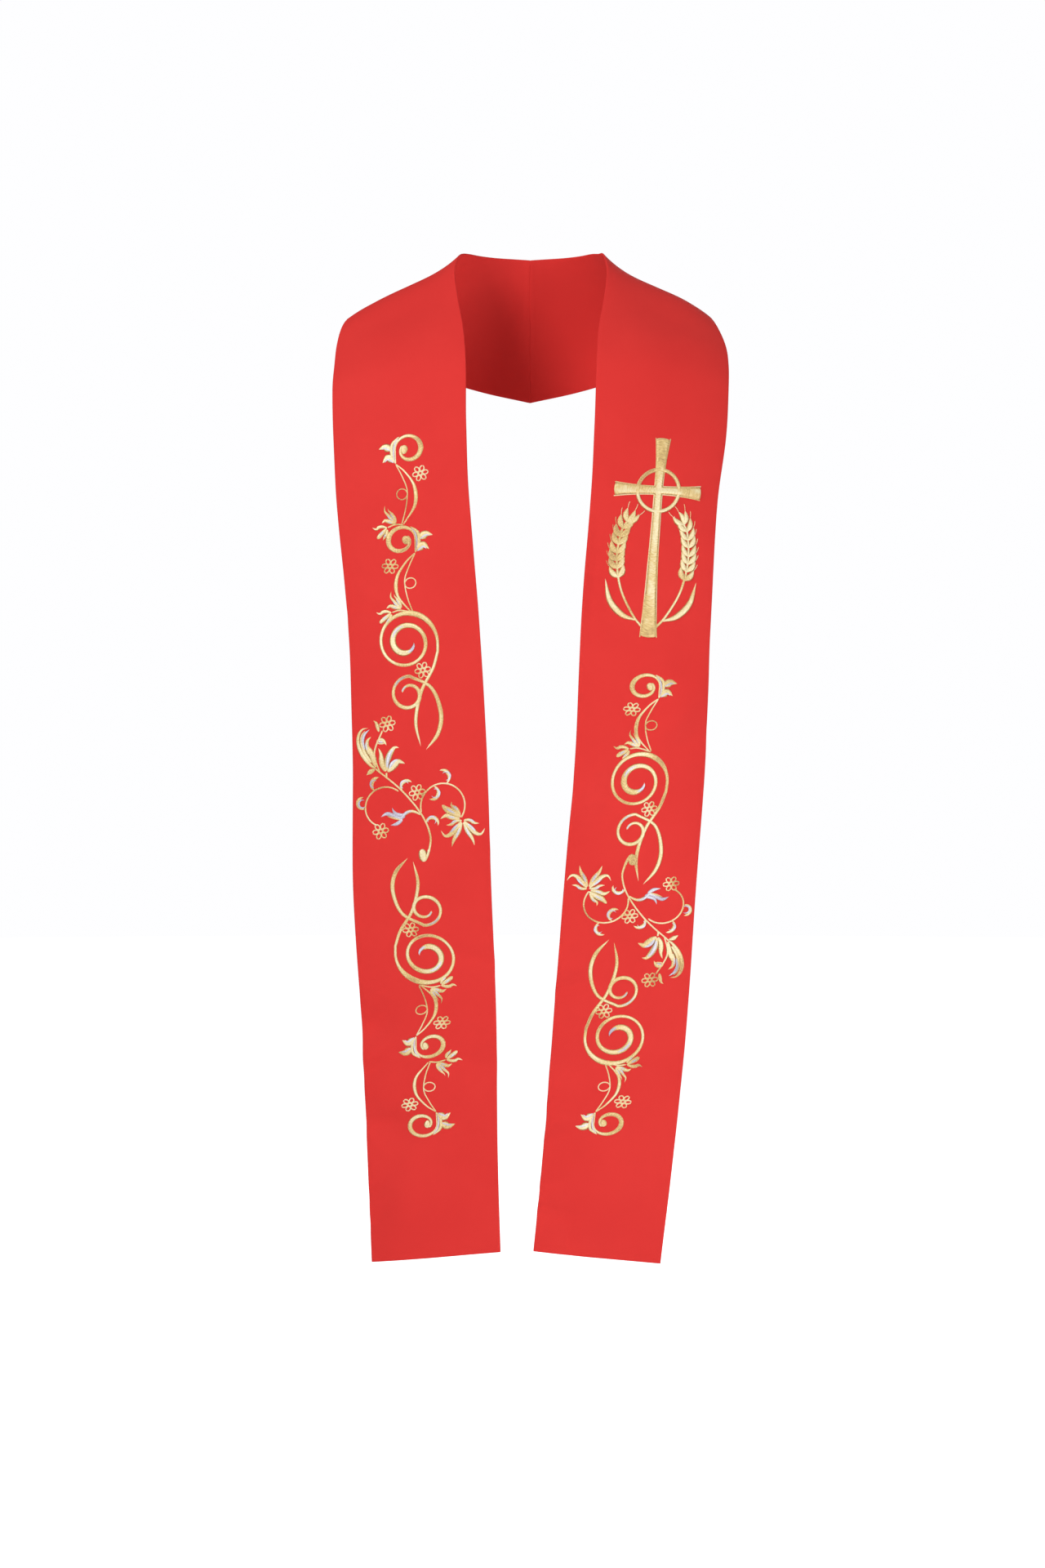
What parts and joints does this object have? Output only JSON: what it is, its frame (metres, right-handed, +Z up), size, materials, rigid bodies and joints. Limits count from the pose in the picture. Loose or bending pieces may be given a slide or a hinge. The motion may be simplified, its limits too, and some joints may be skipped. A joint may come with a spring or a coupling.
{
  "type": "clerical stole",
  "caption": "Red clerical stole in its worn pose: flat bands over the shoulders, joined by a mitred seam at the back and hanging straight down the front, embroidered in gold.",
  "frame": {"origin": "middle of the neck opening, at the height where the cloth lies on the shoulders beside the neck", "axes": "+Z up along the hanging bands, +Y towards the wearer's back, so the front faces -Y, and +X towards the wearer's left"},
  "size_m": [0.4735, 0.2843, 1.2051],
  "materials": {
    "red_twill": "matt twill",
    "gold_thread": "satin stitch with a soft sheen",
    "silver_thread": "satin stitch with a soft sheen"
  },
  "bodies": {
    "root": {"right_half": "red_twill", "left_half": "red_twill"}
  },
  "joints": []
}
